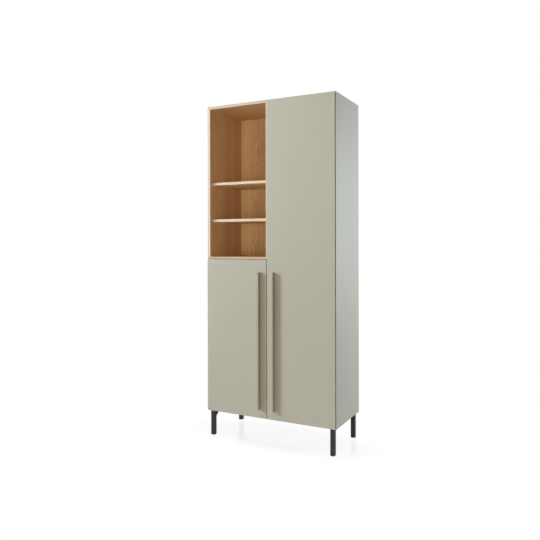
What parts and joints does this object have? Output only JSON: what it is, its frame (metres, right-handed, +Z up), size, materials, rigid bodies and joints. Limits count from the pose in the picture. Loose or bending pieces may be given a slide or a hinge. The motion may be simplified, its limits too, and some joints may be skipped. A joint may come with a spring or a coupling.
{
  "type": "wardrobe",
  "caption": "Tall two-bay storage cabinet with an open oak niche over a short door, a full-height door with bar handles, and square steel legs.",
  "frame": {"origin": "centre of the footprint, handles included, on the floor", "axes": "+Z up, +X to the right seen from the front, +Y from the doors towards the back"},
  "size_m": [0.832, 0.422, 2],
  "materials": {
    "lacquer": "satin sage grey lacquer on board",
    "oak": "matt oiled oak veneer",
    "back_sheet": "printed thin board, matt",
    "leg_steel": "matt black powder coat",
    "hinge_steel": "nickel plated pressed steel",
    "zinc_steel": "bright zinc plate",
    "beech": "plain turned beech",
    "glide_plastic": "black moulded plastic",
    "bumper_rubber": "clear grey soft dots"
  },
  "bodies": {
    "carcass": {"back_left": "back_sheet", "back_right": "back_sheet", "bay_upright": "lacquer", "bay_upright_screws": "zinc_steel", "bottom_panel": "lacquer", "cam_bolts": "zinc_steel", "cam_locks": "zinc_steel", "divider": "lacquer", "door_bumpers": "bumper_rubber", "dowels": "beech", "fixed_shelf": "lacquer", "left_bay_pins": "zinc_steel", "left_bay_shelf_1": "lacquer", "left_bay_shelf_2": "lacquer", "left_hinge_arms": "hinge_steel", "left_hinge_plates": "hinge_steel", "left_plate_screws": "zinc_steel", "leg_back_left": "leg_steel", "leg_back_right": "leg_steel", "leg_front_left": "leg_steel", "leg_front_right": "leg_steel", "leg_glides": "glide_plastic", "leg_screws": "zinc_steel", "niche_back": "oak", "niche_floor": "oak", "niche_pins": "zinc_steel", "niche_shelf_1": "oak", "niche_shelf_2": "oak", "niche_side_left": "oak", "niche_side_right": "oak", "niche_top": "oak", "right_bay_pins": "zinc_steel", "right_bay_shelf_1": "lacquer", "right_bay_shelf_2": "lacquer", "right_bay_shelf_3": "lacquer", "right_bay_shelf_4": "lacquer", "right_hinge_arms": "hinge_steel", "right_hinge_plates": "hinge_steel", "right_plate_screws": "zinc_steel", "side_left": "lacquer", "side_right": "lacquer", "top_panel": "lacquer"},
    "left_door": {"left_cup_screws": "zinc_steel", "left_door": "lacquer", "left_handle": "lacquer", "left_handle_screws": "zinc_steel", "left_hinge_cups": "hinge_steel"},
    "right_door": {"right_cup_screws": "zinc_steel", "right_door": "lacquer", "right_handle": "lacquer", "right_handle_screws": "zinc_steel", "right_hinge_cups": "hinge_steel"},
    "left_links": {"left_hinge_links": "hinge_steel"},
    "right_links": {"right_hinge_links": "hinge_steel"}
  },
  "joints": [
    {"name": "left_door_hinge", "type": "hinge", "parent": "carcass", "child": "left_door", "pos_m": [-0.416, -0.164, 0.6125], "axis": [0, 0, -1], "range_deg": [0, 105]},
    {"name": "right_door_hinge", "type": "hinge", "parent": "carcass", "child": "right_door", "pos_m": [0.416, -0.164, 1.075], "axis": [0, 0, 1], "range_deg": [0, 105]},
    {"name": "left_link_pivot", "type": "hinge", "parent": "carcass", "child": "left_links", "pos_m": [-0.3958, -0.1681, 0.6125], "axis": [0, 0, -1], "range_deg": [0, 143]},
    {"name": "right_link_pivot", "type": "hinge", "parent": "carcass", "child": "right_links", "pos_m": [0.3958, -0.1681, 1.075], "axis": [0, 0, 1], "range_deg": [0, 143]}
  ],
  "couplings": [
    {"joint": "left_link_pivot", "follows": "left_door_hinge", "ratio": 1.36},
    {"joint": "right_link_pivot", "follows": "right_door_hinge", "ratio": 1.36}
  ]
}
